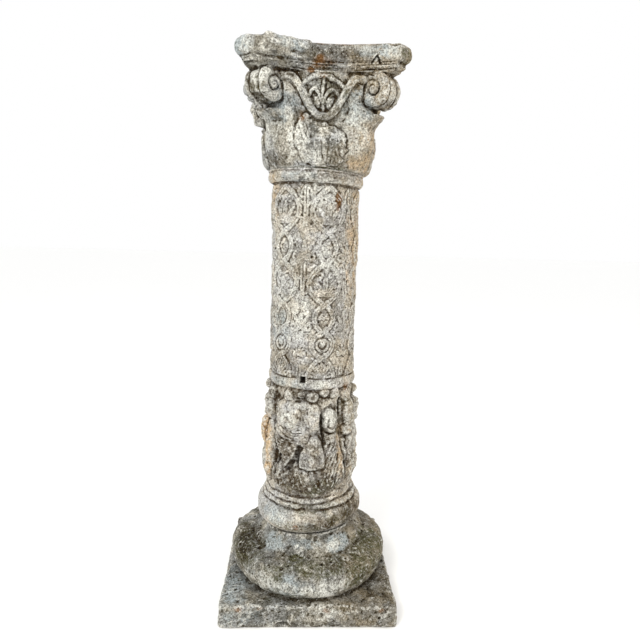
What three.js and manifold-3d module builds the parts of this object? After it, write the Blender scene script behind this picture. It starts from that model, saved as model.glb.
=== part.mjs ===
// A column pedestal of cast stone in three pieces: base, carved shaft and capital.
// Millimetres, +Z up, the front faces -Y, and the plinth stands on Z = 0 with its middle at the origin.
import * as THREE from "three";
import { mergeVertices } from "three/addons/utils/BufferGeometryUtils.js";
import Module from "manifold-3d";

const manifold = await Module();
manifold.setup();
const { Manifold } = manifold;

// Driving dimensions
const plinthWidth = 360;
const plinthHeight = 48;
const plinthCorner = 10;
const baseTop = 156;
const cushionRadius = 174;
const jointGap = 0.3;
const shaftTop = 907;
const shaftRadius = 88;
const figureBandFoot = 246;
const figureBandTop = 468;
const chainCount = 6;
const chainLean = [10.7, 17.6]; // azimuth of the first chain at its foot and its top, in degrees from the front
const figureCount = 12;
const figureTurn = 1.5; // azimuth of one of the figures
const capitalTurn = 3; // the capital was set on a little askew
const capitalFoot = shaftTop + jointGap;
const scrollReach = 151; // from the axis to the middle of a corner scroll
const scrollHeight = 1047;
const scrollRadius = 36;
const scrollThickness = 40;
const abacusFoot = 1060;
const abacusTop = 1119;
const abacusCorner = 160; // half the width over the cut corners
const abacusMiddle = 134; // from the axis to the middle of a hollowed side
const abacusCut = 28;

// Small shared functions
const up = new THREE.Vector3(0, 0, 1);
const radians = (degrees) => (degrees * Math.PI) / 180;
const clamp = (value, low, high) => Math.min(high, Math.max(low, value));
const mix = (a, b, share) => a + (b - a) * share;

function smooth(low, high, value) {
  const t = clamp((value - low) / (high - low), 0, 1);
  return t * t * (3 - 2 * t);
}

// The angle from a to b the short way round, in degrees
const turnBetween = (a, b) => ((((a - b) % 360) + 540) % 360) - 180;

// How far an azimuth is from the nearest of a ring of equally spaced ones
function fromNearest(azimuth, first, count) {
  const step = 360 / count;
  const along = turnBetween(azimuth, first) / step;
  return (along - Math.round(along)) * step;
}

// A half ellipse standing on a core radius, as a function of height
function bulge(z, middle, half, core, out) {
  const t = Math.abs(z - middle) / half;
  return t < 1 ? core + out * Math.pow(1 - Math.pow(t, 2.4), 0.5) : 0;
}

// A soft round-edged boss: 1 in the middle, 0 outside its half sizes
function boss(across, up, halfWidth, halfHeight) {
  const t = Math.hypot(across / halfWidth, up / halfHeight);
  return t < 1 ? Math.sqrt(1 - t * t) : 0;
}

// A narrow ridge with a round back
const ridge = (distance, halfWidth) => Math.sqrt(Math.max(0, 1 - (distance / halfWidth) ** 2));

// Slow unevenness of worn stone, the same at every run
function wear(azimuth, z) {
  const a = radians(azimuth);
  return (
    Math.sin(3 * a + z * 0.021) * 0.5 +
    Math.sin(7 * a - z * 0.055 + 1.3) * 0.3 +
    Math.sin(z * 0.12 + 2 * a) * 0.2
  );
}

// The rings were never quite level: the drop towards +X per millimetre, by height
function lean(z) {
  const nearJoint = 0.05 * smooth(112, 150, z) * (1 - smooth(160, 215, z));
  const nearNeck = 0.035 * smooth(470, 890, z) * (1 - smooth(960, 1040, z));
  return nearNeck - nearJoint;
}

const aroundAxis = (azimuth, radius, z) =>
  new THREE.Vector3(radius * Math.sin(radians(azimuth)), -radius * Math.cos(radians(azimuth)), z);

// A closed body over level rings of as many points each, from the lowest up, with flat ends
function skinned(rings) {
  const columns = rings[0].length;
  const points = rings.flat();
  const triangles = [];
  for (let i = 0; i + 1 < rings.length; i++)
    for (let j = 0; j < columns; j++) {
      const a = i * columns + j;
      const b = i * columns + ((j + 1) % columns);
      const c = a + columns;
      const d = b + columns;
      const rising = points[a].distanceTo(points[d]) <= points[b].distanceTo(points[c]);
      if (rising) triangles.push(a, b, d, a, d, c);
      else triangles.push(a, b, c, b, d, c);
    }
  const foot = points.length;
  const top = foot + 1;
  const last = foot - columns;
  points.push(new THREE.Vector3(0, 0, points[0].z), new THREE.Vector3(0, 0, points[last].z));
  for (let j = 0; j < columns; j++) {
    const next = (j + 1) % columns;
    triangles.push(foot, next, j, top, last + j, last + next);
  }
  return new THREE.BufferGeometry().setFromPoints(points).setIndex(triangles);
}

// A body turned about the axis: one ring at each height, each point at its own azimuth
function turned(heights, columns, azimuthAt, radiusAt) {
  const ringAt = (z) =>
    Array.from({ length: columns }, (_, j) => {
      const azimuth = azimuthAt(j, z);
      return aroundAxis(azimuth, radiusAt(azimuth, z), z);
    });
  return skinned(heights.map(ringAt));
}

// A rough rounded lump or bite, of few faces
function lump(x, y, z, sizeX, sizeY, sizeZ) {
  const geometry = new THREE.SphereGeometry(1, 6, 5);
  const place = geometry.attributes.position;
  const point = new THREE.Vector3();
  for (let i = 0; i < place.count; i++) {
    point.fromBufferAttribute(place, i);
    const rough = 1 + 0.12 * Math.sin(5 * point.x + 3 * point.y) + 0.08 * Math.sin(7 * point.z - 4 * point.x);
    point.multiplyScalar(rough);
    place.setXYZ(i, point.x, point.y, point.z);
  }
  return geometry.scale(sizeX, sizeY, sizeZ).translate(x, y, z);
}

// The same body on the other side of the plane x = 0, its faces still pointing out
function mirrored(geometry) {
  const copy = geometry.clone().scale(-1, 1, 1);
  const corners = copy.index.array;
  for (let i = 0; i < corners.length; i += 3)
    [corners[i + 1], corners[i + 2]] = [corners[i + 2], corners[i + 1]];
  return copy;
}

// A closed geometry as a solid to be joined and cut
function solidOf(geometry) {
  const bare = geometry.clone();
  bare.deleteAttribute("normal");
  bare.deleteAttribute("uv");
  const merged = mergeVertices(bare, 0.001);
  const mesh = new manifold.Mesh({
    numProp: 3,
    vertProperties: merged.attributes.position.array,
    triVerts: new Uint32Array(merged.index.array),
  });
  return new Manifold(mesh);
}

const joined = (geometries) => Manifold.union(geometries.map(solidOf));

// A finished piece, leaned a little where its rings are out of level
function piece(name, solid, colour) {
  const mesh = solid.getMesh();
  const places = Float32Array.from(mesh.vertProperties);
  for (let i = 0; i < places.length; i += 3) places[i + 2] -= lean(places[i + 2]) * places[i];
  const geometry = new THREE.BufferGeometry();
  geometry.setAttribute("position", new THREE.BufferAttribute(places, 3));
  geometry.setIndex(new THREE.BufferAttribute(mesh.triVerts, 1));
  geometry.computeVertexNormals();
  const material = new THREE.MeshStandardMaterial({ color: colour, roughness: 0.95, metalness: 0 });
  const result = new THREE.Mesh(geometry, material);
  result.name = name;
  return result;
}

// Base: a square plinth, a swollen cushion, a mossy groove and a sloping shoulder, cast as one
function plinth() {
  const edge = 4;
  const half = plinthWidth / 2;
  const outline = new THREE.Shape();
  outline.moveTo(plinthCorner - half, -half);
  for (let side = 0; side < 4; side++) {
    const start = radians(90 * side - 90);
    const middle = new THREE.Vector2(half - plinthCorner, plinthCorner - half).rotateAround(
      new THREE.Vector2(),
      radians(90 * side),
    );
    outline.absarc(middle.x, middle.y, plinthCorner, start, start + Math.PI / 2);
  }
  return new THREE.ExtrudeGeometry(outline, {
    depth: plinthHeight - 2 * edge,
    curveSegments: 3,
    bevelSize: edge,
    bevelOffset: -edge,
    bevelThickness: edge,
    bevelSegments: 2,
  }).translate(0, 0, edge);
}

function cushionProfile(azimuth, z) {
  const swell = bulge(z, 80, 38, 130, cushionRadius - 130);
  const tuck = z < plinthHeight + 8 ? -3 * (1 - smooth(plinthHeight - 4, plinthHeight + 8, z)) : 0;
  const shoulder = mix(126, 101, smooth(116, baseTop - 4, z));
  const neck = z > baseTop - 4 ? -2 : 0;
  return Math.max(swell + tuck, shoulder + neck) + 1.6 * wear(azimuth, z);
}

function makeBase() {
  const heights = [plinthHeight - 6, plinthHeight, 56, 66, 80, 96, 107, 115, 135, 152, baseTop];
  const cushion = turned(heights, 30, (j) => 12 * j, cushionProfile);
  const bites = [
    lump(-178, 182, 46, 46, 20, 22),
    lump(172, 184, 44, 34, 26, 26),
    lump(-52, -184, -2, 16, 14, 9),
    lump(183, -120, 52, 9, 34, 12),
  ];
  return joined([plinth(), cushion]).subtract(joined(bites));
}

// Shaft: six chains of two crossing strands in low relief over a ring of worn draped figures
const lenses = [
  { top: 874, foot: 786, half: 33, roundness: 0.85, seed: 11 },
  { top: 786, foot: 728, half: 19, roundness: 0.65, seed: 8 },
  { top: 728, foot: 644, half: 33, roundness: 0.85, seed: 11 },
  { top: 644, foot: 589, half: 19, roundness: 0.65, seed: 8 },
  { top: 589, foot: 536, half: 25, roundness: 0.75, seed: 9 },
  { top: 536, foot: 450, half: 27, roundness: 0.75, seed: 6 },
];

function strandOffset(lens, z) {
  const share = clamp((lens.top - z) / (lens.top - lens.foot), 0, 1);
  return lens.half * Math.pow(Math.sin(Math.PI * share), lens.roundness);
}

// The chains lean a little: where the first one stands at each height
const chainAzimuth = (z) => mix(...chainLean, (z - 493) / 381);

function chainRelief(azimuth, z) {
  const off = fromNearest(azimuth, chainAzimuth(z), chainCount);
  const across = radians(Math.abs(off)) * shaftRadius;
  const halfPitch = (Math.PI * shaftRadius) / chainCount;
  const lens = lenses.find((item) => z <= item.top && z > item.foot);
  if (!lens) return 0;
  const here = strandOffset(lens, z);
  const slope = strandOffset(lens, z + 1) - here;
  const distance = Math.abs(across - here) / Math.hypot(1, slope);
  const strand = 3 * ridge(distance, 4.6);
  const middle = (lens.top + lens.foot) / 2;
  const fruit = 2.6 * boss(across, z - middle, lens.seed, lens.seed * 1.3);
  const wide = lens.half > 30;
  const stem = wide ? 1.8 * ridge(halfPitch - across, 4) : 0;
  const leaf = wide ? 0 : 2.4 * boss(halfPitch - across, z - middle, 17, 22);
  return Math.max(strand, fruit, stem, leaf) * smooth(488, 496, z) * smooth(880, 874, z);
}

// Lumps of the figures that face the viewer: azimuth, height, half width, half height, how proud
const frontForms = [
  { name: "knee", azimuth: 2, z: 334, width: 25, height: 33, proud: 7 },
  { name: "bag", azimuth: 25, z: 408, width: 19, height: 28, proud: 6 },
  { name: "shoulder", azimuth: 55, z: 415, width: 18, height: 34, proud: 6 },
  { name: "chest", azimuth: -24, z: 418, width: 15, height: 24, proud: 4 },
  { name: "side cloak", azimuth: -56, z: 345, width: 17, height: 60, proud: 7 },
];

function figureRelief(azimuth, z) {
  const off = fromNearest(azimuth, figureTurn, figureCount);
  const across = radians(off) * (shaftRadius + 10);
  const bodyTop = figureBandTop - 22;
  const head = 9 * boss(across, z - (figureBandTop - 12), 10, 13);
  const torsoHalf = mix(17, 12, smooth(bodyTop - 70, bodyTop, z));
  const inBody = smooth(figureBandFoot - 6, figureBandFoot + 40, z) * smooth(bodyTop + 6, bodyTop - 8, z);
  const torso = 8 * ridge(across, torsoHalf) * inBody;
  const folds = 1.2 * Math.cos(across * 0.75 + z * 0.03) * inBody;
  let extra = 0;
  for (const form of frontForms) {
    const aside = radians(turnBetween(azimuth, form.azimuth)) * (shaftRadius + 10);
    extra = Math.max(extra, form.proud * boss(aside, z - form.z, form.width, form.height));
  }
  const hem = 2.5 * ridge(z - 303, 4) * (Math.abs(turnBetween(azimuth, 3)) < 16 ? 1 : 0);
  return Math.max(head, torso + folds, 0) + extra * 0.8 + hem;
}

function shaftProfile(azimuth, z) {
  const torus = bulge(z, 185.5, 26, 94, 22);
  const fillet = bulge(z, 215.5, 6.5, 92, 12.5);
  const step = bulge(z, 227.5, 5.5, 91, 8.5);
  const ground = z < figureBandTop ? mix(93, 95, smooth(figureBandFoot, 400, z)) : shaftRadius;
  const lowerRing = bulge(z, 480, 12, 87, 8);
  const astragal = bulge(z, 895, 13, 88, 11.5);
  const neck = z > 886 ? mix(92, 99, smooth(896, shaftTop, z)) : 0;
  const figures = z > 228 && z < 474 ? figureRelief(azimuth, z) * smooth(228, 244, z) : 0;
  const chains = z > 488 ? chainRelief(azimuth, z) : 0;
  const surface = Math.max(torus, fillet, step, ground + figures + chains, lowerRing, astragal, neck);
  return surface + 0.9 * wear(azimuth, z);
}

// Points of the rings: even, but on the carved length they follow the strands of the chains
function shaftAzimuth(j, z) {
  const perChain = 8;
  const chain = chainAzimuth(z) + (360 / chainCount) * Math.floor(j / perChain);
  const place = (j % perChain) - perChain / 2;
  const lens = lenses.find((item) => z <= item.top && z >= item.foot && z > 489);
  const even = chain + (place * 360) / (chainCount * perChain);
  if (!lens || place === 0 || place === -perChain / 2) return even;
  const here = strandOffset(lens, z);
  const inner = Math.max(here - 4.6, 1.5);
  const strand = Math.max(here, 3);
  const outer = Math.max(here + 4.6, 5.5);
  const across = [0, inner, strand, outer][Math.abs(place)];
  return chain + (Math.sign(place) * across * 180) / (Math.PI * shaftRadius);
}

function makeShaft() {
  const mouldings = [baseTop + jointGap, 161, 171, 186, 200, 209, 215, 221, 228, 233];
  const figures = [252, 280, 303, 340, 385, 420, 443, 455, 467];
  const lowerRing = [470, 480, 492];
  const carved = lenses.flatMap((lens) => {
    const shares = lens.half > 30 ? [0, 0.18, 0.5, 0.82] : [0, 0.25, 0.75];
    return shares.map((share) => mix(lens.top, lens.foot, share)).filter((z) => z > 497);
  });
  const neck = [882, 887, 895, 903, shaftTop];
  const heights = [...mouldings, ...figures, ...lowerRing, ...carved.reverse(), ...neck];
  const body = turned(heights, 48, shaftAzimuth, shaftProfile);
  const socket = new THREE.BoxGeometry(11, 20, 12).translate(0, -shaftRadius - 4, 488);
  return solidOf(body).subtract(solidOf(socket.rotateZ(radians(-13.3))));
}

// Capital: bell with four corner leaves and four low leaves, corner scrolls and a hollowed abacus
function bellRadius(z) {
  const foot = 10 * (1 - Math.exp(-(z - capitalFoot) / 14));
  return 98 + foot + 28 * Math.pow(smooth(970, 1085, z), 1.2);
}

function cornerLeaf(off, z) {
  const rise = 28 * (1 - Math.exp(-(z - capitalFoot + 6) / 34)) + 15 * smooth(984, 1009, z);
  const end = smooth(1024, 1012, z);
  const half = mix(34, 17, smooth(950, 1012, z));
  const spread = Math.abs(off) < half ? Math.pow(Math.cos((Math.PI / 2) * (off / half)), 1.1) : 0;
  return rise * end * spread;
}

function lowLeaf(off, z) {
  const across = radians(off) * 114;
  return 7 * boss(across, z - 948, 52, 40);
}

// The square-cornered upper wall that the scrolls grow out of
function capitalGround(off, z) {
  const squareness = smooth(1005, 1055, z);
  const wall = Math.min(118 / Math.cos(radians(off)), 141);
  return mix(bellRadius(z), Math.max(wall, bellRadius(z) - 8), squareness);
}

function capitalProfile(azimuth, z) {
  const turn = azimuth - capitalTurn;
  const off = fromNearest(turn, 0, 4);
  const corner = fromNearest(turn, 45, 4);
  const carving = Math.max(cornerLeaf(corner, z), lowLeaf(off, z));
  return capitalGround(off, z) + carving + 0.8 * wear(azimuth, z);
}

// A three-sided strip along a path: each station has a place, an outward direction, a width and a rise
function strip(stations) {
  const points = stations.flatMap((station, i) => {
    const before = stations[Math.max(i - 1, 0)].place;
    const after = stations[Math.min(i + 1, stations.length - 1)].place;
    const side = after.clone().sub(before).normalize().cross(station.out).normalize();
    const root = station.place.clone().addScaledVector(station.out, -4);
    return [
      root.clone().addScaledVector(side, station.width / 2),
      root.clone().addScaledVector(side, -station.width / 2),
      station.place.clone().addScaledVector(station.out, station.rise),
    ];
  });
  const last = points.length - 3;
  const triangles = [0, 2, 1, last, last + 1, last + 2];
  for (let i = 0; i < last; i += 3)
    for (let k = 0; k < 3; k++) {
      const next = (k + 1) % 3;
      triangles.push(i + k, i + next, i + 3 + next, i + k, i + 3 + next, i + 3 + k);
    }
  return new THREE.BufferGeometry().setFromPoints(points).setIndex(triangles);
}

// The S-shaped band: up from the middle of a side, over the corner scroll and in to its eye
function scrollBand() {
  const stations = [];
  const climb = 4;
  for (let i = 0; i < climb; i++) {
    const share = i / (climb - 1);
    const z = mix(999, 1066, share * share);
    const off = mix(0.5, 27, share);
    const place = aroundAxis(off, capitalGround(off, z) + 1, z);
    stations.push({ place, out: aroundAxis(off, 1, 0), width: 15, rise: 7 });
  }
  const corner = new THREE.Vector3(Math.SQRT1_2, -Math.SQRT1_2, 0);
  const face = new THREE.Vector3(-Math.SQRT1_2, -Math.SQRT1_2, 0);
  const around = 6;
  for (let i = 0; i < around; i++) {
    const share = i / (around - 1);
    const angle = radians(118 - 340 * share);
    const radius = mix(scrollRadius - 5, 14, Math.pow(share, 0.8));
    const place = corner.clone().multiplyScalar(scrollReach + radius * Math.cos(angle));
    place.addScaledVector(face, scrollThickness / 2);
    place.z = scrollHeight + radius * Math.sin(angle);
    stations.push({ place, out: face, width: mix(14, 8, share), rise: 5 });
  }
  return strip(stations);
}

// One corner scroll: a drum with a rounded edge and a ball for the eye on each face
function scrollDrum() {
  const face = scrollThickness / 2;
  const edge = scrollRadius - 2;
  const half = [
    [edge, face / 2],
    [edge - 5, face],
    [11, face],
    [0, face + 9],
  ];
  const lower = half.map(([radius, height]) => [radius, -height]).reverse();
  const profile = [...lower, ...half].map(([radius, height]) => new THREE.Vector2(radius, height));
  return new THREE.LatheGeometry(profile, 9).translate(scrollReach, 0, scrollHeight);
}

// The shield between two bands: an arched rim, a stem and two rounded lobes
function shield() {
  const rim = [];
  const rimSpans = 3;
  for (let i = 0; i <= rimSpans; i++) {
    const off = mix(-19, 19, i / rimSpans);
    const z = 1050 + 17 * Math.sin((Math.PI * i) / rimSpans);
    const place = aroundAxis(off, capitalGround(off, z), z);
    rim.push({ place, out: aroundAxis(off, 1, 0), width: 9, rise: 5 });
  }
  const stem = [1008, 1066].map((z) => ({
    place: aroundAxis(0, capitalGround(0, z), z),
    out: aroundAxis(0, 1, 0),
    width: 8,
    rise: 4,
  }));
  const lobes = [-1, 1].map((side) => {
    const off = 6 * side;
    const middle = aroundAxis(off, capitalGround(off, 1024), 1024);
    return new THREE.SphereGeometry(1, 6, 4).scale(9, 8, 17).translate(middle.x, middle.y, middle.z);
  });
  return [strip(rim), strip(stem), ...lobes];
}

// One level of the abacus: four hollowed sides and cut corners, grown or shrunk by an offset
function abacusRing(offset, z) {
  const spans = 3;
  const halfSide = abacusCorner - abacusCut + offset * (Math.SQRT2 - 1);
  const ring = [];
  for (let side = 0; side < 4; side++)
    for (let i = 0; i <= spans; i++) {
      const share = (2 * i) / spans - 1;
      const depth = mix(abacusMiddle, abacusCorner, share * share) + offset;
      ring.push(new THREE.Vector3(share * halfSide, -depth, z).applyAxisAngle(up, radians(90 * side)));
    }
  return ring;
}

// Two thin steps, a groove and a thick rounded edge
function abacus() {
  const steps = [
    { offset: -24, from: abacusFoot, to: 1069 },
    { offset: -16, from: 1069, to: 1074 },
    { offset: -20, from: 1074, to: 1079 },
    { offset: -12, from: 1079, to: 1087 },
  ];
  const rings = steps.flatMap(({ offset, from, to }) => [abacusRing(offset, from), abacusRing(offset, to)]);
  const edgeSpans = 3;
  const edgeHalf = (abacusTop - 1088) / 2;
  for (let i = 0; i <= edgeSpans; i++) {
    const angle = mix(-70, 70, i / edgeSpans);
    const offset = 9 * (Math.cos(radians(angle)) - 1);
    rings.push(abacusRing(offset, abacusTop - edgeHalf * (1 - Math.sin(radians(angle)) / Math.sin(radians(70)))));
  }
  return skinned(rings);
}

// Where the abacus is broken or worn away
const abacusBites = () => [
  lump(-2, -146, 1078, 24, 17, 17),
  lump(-20, -141, 1069, 15, 12, 10),
  lump(98, -166, 1092, 8, 12, 9),
  lump(-112, -162, 1123, 6, 26, 8),
  lump(150, 96, 1118, 26, 30, 9),
];

function makeCapital() {
  const leafRows = [capitalFoot, 916, 934, 954, 976, 995, 1009];
  const wallRows = [1015, 1024, 1048, 1070];
  const columns = [-45, -32, -20, -9, 0, 9, 20, 32];
  const azimuthAt = (j) => capitalTurn + 90 * Math.floor(j / 8) + columns[j % 8];
  const bell = turned([...leafRows, ...wallRows], 32, azimuthAt, capitalProfile);
  const askew = (geometry) => geometry.rotateZ(radians(capitalTurn));
  const ornament = [];
  const band = scrollBand();
  for (let side = 0; side < 4; side++) {
    const bands = [band.clone(), mirrored(band)];
    const middle = side === 2 ? bands : [...bands, ...shield()]; // the back is plainer
    ornament.push(...middle.map((part) => part.rotateZ(radians(90 * side))));
    ornament.push(scrollDrum().rotateZ(radians(90 * side - 45)));
  }
  const slab = solidOf(askew(abacus())).subtract(joined(abacusBites().map(askew)));
  const rough = lump(-60, -112, 1113, 42, 34, 17);
  const brokenScroll = lump(-150, 122, 1026, 24, 26, 34);
  const carved = joined([bell, ...ornament.map(askew), rough]);
  return carved.add(slab).subtract(solidOf(brokenScroll));
}

const pedestal = new THREE.Group();
pedestal.add(piece("base", makeBase(), 0x96958a));
pedestal.add(piece("shaft", makeShaft(), 0xb3b0a6));
pedestal.add(piece("capital", makeCapital(), 0xa9a598));

export default pedestal;
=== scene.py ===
"""A column pedestal of weathered cast stone: square base, carved shaft and a capital with corner scrolls.

Sizes are millimetres and azimuths are degrees from the front (-Y) towards +X. Meshes are turned to metres
when they are made.
"""

import math

import bpy
import numpy as np
from mathutils import Matrix, Vector


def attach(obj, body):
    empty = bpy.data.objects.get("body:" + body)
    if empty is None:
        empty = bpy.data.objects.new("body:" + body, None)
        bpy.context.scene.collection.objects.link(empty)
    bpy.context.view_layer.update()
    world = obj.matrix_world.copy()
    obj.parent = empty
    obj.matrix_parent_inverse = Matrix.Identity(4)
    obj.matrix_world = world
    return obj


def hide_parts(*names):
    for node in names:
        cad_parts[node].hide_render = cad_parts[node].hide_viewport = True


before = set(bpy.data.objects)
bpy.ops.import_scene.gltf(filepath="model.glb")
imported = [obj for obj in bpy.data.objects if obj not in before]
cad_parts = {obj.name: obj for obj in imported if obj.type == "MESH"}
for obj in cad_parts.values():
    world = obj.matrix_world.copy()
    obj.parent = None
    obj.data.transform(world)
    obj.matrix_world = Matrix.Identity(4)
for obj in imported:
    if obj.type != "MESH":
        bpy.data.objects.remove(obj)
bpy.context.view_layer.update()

# Camera and room. The column was photographed from just over a metre away with a wide lens, a little
# from above, against white. The floor is a plain pale sheet and the light is soft, from the upper left.
MM = 0.001
pitch = math.radians(8.73)
roll = math.radians(1.459)
pan = math.radians(2.182)
eye = Vector((-26.22, -1103.21, 769.89)) * MM

ahead = Vector((math.sin(pan) * math.cos(pitch), math.cos(pan) * math.cos(pitch), -math.sin(pitch)))
level = Vector((math.cos(pan), -math.sin(pan), 0))
upward = level.cross(ahead)
right = math.cos(roll) * level + math.sin(roll) * upward
above = math.cos(roll) * upward - math.sin(roll) * level
lens = bpy.data.cameras.new("camera")
lens.lens = 28.8
lens.sensor_width = 36
lens.clip_start = 0.05
camera = bpy.data.objects.new("camera", lens)
camera.matrix_world = Matrix(
    (
        (right.x, above.x, -ahead.x, eye.x),
        (right.y, above.y, -ahead.y, eye.y),
        (right.z, above.z, -ahead.z, eye.z),
        (0, 0, 0, 1),
    )
)
bpy.context.scene.collection.objects.link(camera)
bpy.context.scene.camera = camera
bpy.context.scene.view_settings.view_transform = "Standard"


def linear(hex_colour):
    """An sRGB hex colour as the linear colour a shader takes."""
    channels = [int(hex_colour[i : i + 2], 16) / 255 for i in (1, 3, 5)]
    return [c / 12.92 if c <= 0.04045 else ((c + 0.055) / 1.055) ** 2.4 for c in channels] + [1.0]


def node(tree, kind, settings=None, inputs=None):
    """Adds a shader node, sets its properties, and sets or links its inputs."""
    made = tree.nodes.new(kind)
    for key, value in (settings or {}).items():
        setattr(made, key, value)
    for key, value in (inputs or {}).items():
        if isinstance(value, bpy.types.NodeSocket):
            tree.links.new(value, made.inputs[key])
        else:
            made.inputs[key].default_value = value
    return made


bpy.ops.object.select_all(action="DESELECT")
bpy.ops.mesh.primitive_plane_add(size=60, location=(0, 0, 0))
floor = bpy.context.object
floor.name = "floor"
paper = bpy.data.materials.new("matt white paper")
paper.use_nodes = True
paper_shader = paper.node_tree.nodes["Principled BSDF"]
paper_shader.inputs["Base Color"].default_value = linear("#fefefd")
paper_shader.inputs["Roughness"].default_value = 0.9
floor.data.materials.append(paper)

sky = bpy.data.worlds.new("pale room")
sky.use_nodes = True
sky.node_tree.nodes["Background"].inputs["Color"].default_value = linear("#ffffff")
sky.node_tree.nodes["Background"].inputs["Strength"].default_value = 1.0
bpy.context.scene.world = sky


def soft_light(name, place, target, size, watts, hex_colour):
    """A large square lamp, aimed at a point."""
    lamp = bpy.data.lights.new(name, "AREA")
    lamp.size = size
    lamp.energy = watts
    lamp.color = linear(hex_colour)[:3]
    holder = bpy.data.objects.new(name, lamp)
    aim = (Vector(target) - Vector(place)).to_track_quat("-Z", "Y")
    holder.matrix_world = Matrix.Translation(place) @ aim.to_matrix().to_4x4()
    bpy.context.scene.collection.objects.link(holder)


soft_light("window", (-1.1, -1.8, 2.2), (0, 0, 0.7), 0.9, 40, "#fffdf8")
soft_light("fill", (1.9, -1.0, 1.2), (0, 0, 0.6), 1.4, 11, "#fff6e8")

# Base: a square plinth and a swollen round cushion with a sloping shoulder, cast as one in coarse grey
# stone. It has stood wet longest, so it is pitted, chipped at its corners and green with old moss.


def smooth(low, high, value):
    """0 below low, 1 above high, with an even rise between; low may be the larger."""
    t = np.clip((value - low) / (high - low), 0, 1)
    return t * t * (3 - 2 * t)


def within(value, outer_low, low, high, outer_high):
    """1 between low and high, falling evenly to 0 at the outer two."""
    return smooth(outer_low, low, value) * smooth(outer_high, high, value)


def mix(a, b, share):
    return a + (b - a) * share


def bulge(z, middle, half, core, out):
    """A half-round moulding on a core radius."""
    t = np.clip(np.abs(z - middle) / half, 0, 1)
    return np.where(t < 1, core + out * np.sqrt(1 - t**2.4), 0)


def hashed(cells, seed):
    """An even pseudo-random number for each whole-number cell, the same at every run."""
    value = cells[:, 0] * 374761393 + cells[:, 1] * 668265263 + cells[:, 2] * 1442695041 + seed * 974711
    value = (value ^ (value >> 13)) & 0xFFFFFFFF
    value = (value * 1274126177) & 0xFFFFFFFF
    return ((value ^ (value >> 16)) & 0xFFFFFF) / 0xFFFFFF


def grain(points, size, seed):
    """Smooth noise from -1 to 1 with lumps about as large as size."""
    q = points / size
    cell = np.floor(q).astype(np.int64)
    f = q - cell
    f = f * f * (3 - 2 * f)
    total = np.zeros(len(points))
    for corner in np.ndindex(2, 2, 2):
        weight = np.prod(np.where(np.array(corner) == 1, f, 1 - f), axis=1)
        total += weight * hashed(cell + np.array(corner), seed)
    return total * 2 - 1


def rough(points, size, seed, octaves=3):
    """Layers of noise, each half as large and half as strong as the one before."""
    return sum(grain(points, size / 2**k, seed + k) / 2**k for k in range(octaves))


def pits(points, spacing, seed, share):
    """Round holes on a share of the cells of a loose lattice: 1 in the middle of each, 0 outside."""
    q = points / spacing
    home = np.floor(q).astype(np.int64)
    depth = np.zeros(len(points))
    for step in np.ndindex(3, 3, 3):
        cell = home + np.array(step) - 1
        middle = cell + np.stack([hashed(cell, seed + k) for k in (1, 2, 3)], axis=1)
        radius = mix(0.22, 0.48, hashed(cell, seed + 4))
        away = np.linalg.norm(q - middle, axis=1) / radius
        there = hashed(cell, seed + 5) < share
        depth = np.maximum(depth, np.where(there, smooth(1.0, 0.35, away), 0))
    return depth


def patch(points, place, size):
    """1 at a place, falling to 0 at the given distances along X, Y and Z."""
    away = np.linalg.norm((points - np.array(place)) / np.array(size), axis=1)
    return smooth(1.0, 0.45, away)


def lean(z):
    """The rings were never quite level: their drop towards +X for each millimetre, by height."""
    return 0.035 * within(z, 470, 890, 960, 1040) - 0.05 * within(z, 112, 150, 160, 215)


def ring(z, columns, radius_at, turn=0.0):
    """A level ring of points about the axis."""
    azimuth = turn + 360 * np.arange(columns) / columns
    radius = radius_at(azimuth, np.full(columns, float(z)))
    a = np.radians(azimuth)
    return np.stack([radius * np.sin(a), -radius * np.cos(a), np.full(columns, float(z))], axis=1)


def skinned(name, rings):
    """A closed body over rings of as many points each, from the lowest up, with flat ends."""
    columns = len(rings[0])
    points = np.concatenate(rings)
    faces = []
    for i in range(len(rings) - 1):
        for j in range(columns):
            a = i * columns + j
            b = i * columns + (j + 1) % columns
            faces.append((a, b, b + columns, a + columns))
    faces.append(tuple(range(columns))[::-1])
    faces.append(tuple(range(len(points) - columns, len(points))))
    mesh = bpy.data.meshes.new(name)
    mesh.from_pydata((points * MM).tolist(), [], faces)
    made = bpy.data.objects.new(name, mesh)
    bpy.context.scene.collection.objects.link(made)
    return made


def applied(thing, kind, **settings):
    """Adds a modifier with its settings and applies it."""
    bpy.ops.object.select_all(action="DESELECT")
    bpy.context.view_layer.objects.active = thing
    thing.select_set(True)
    modifier = thing.modifiers.new(kind, kind)
    for key, value in settings.items():
        setattr(modifier, key, value)
    bpy.ops.object.modifier_apply(modifier=modifier.name)


def fused(things, voxel):
    """Overlapping closed bodies as one even skin of small faces."""
    bpy.ops.object.select_all(action="DESELECT")
    for thing in things:
        thing.select_set(True)
    bpy.context.view_layer.objects.active = things[0]
    if len(things) > 1:
        bpy.ops.object.join()
    applied(things[0], "REMESH", mode="VOXEL", voxel_size=voxel * MM, adaptivity=0)
    return things[0]


def read_points(thing):
    flat = np.empty(3 * len(thing.data.vertices))
    thing.data.vertices.foreach_get("co", flat)
    return flat.reshape(-1, 3) / MM


def write_points(thing, points):
    thing.data.vertices.foreach_set("co", (points * MM).ravel())
    thing.data.update()


def read_normals(thing):
    flat = np.empty(3 * len(thing.data.vertices))
    thing.data.vertex_normals.foreach_get("vector", flat)
    return flat.reshape(-1, 3)


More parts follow.
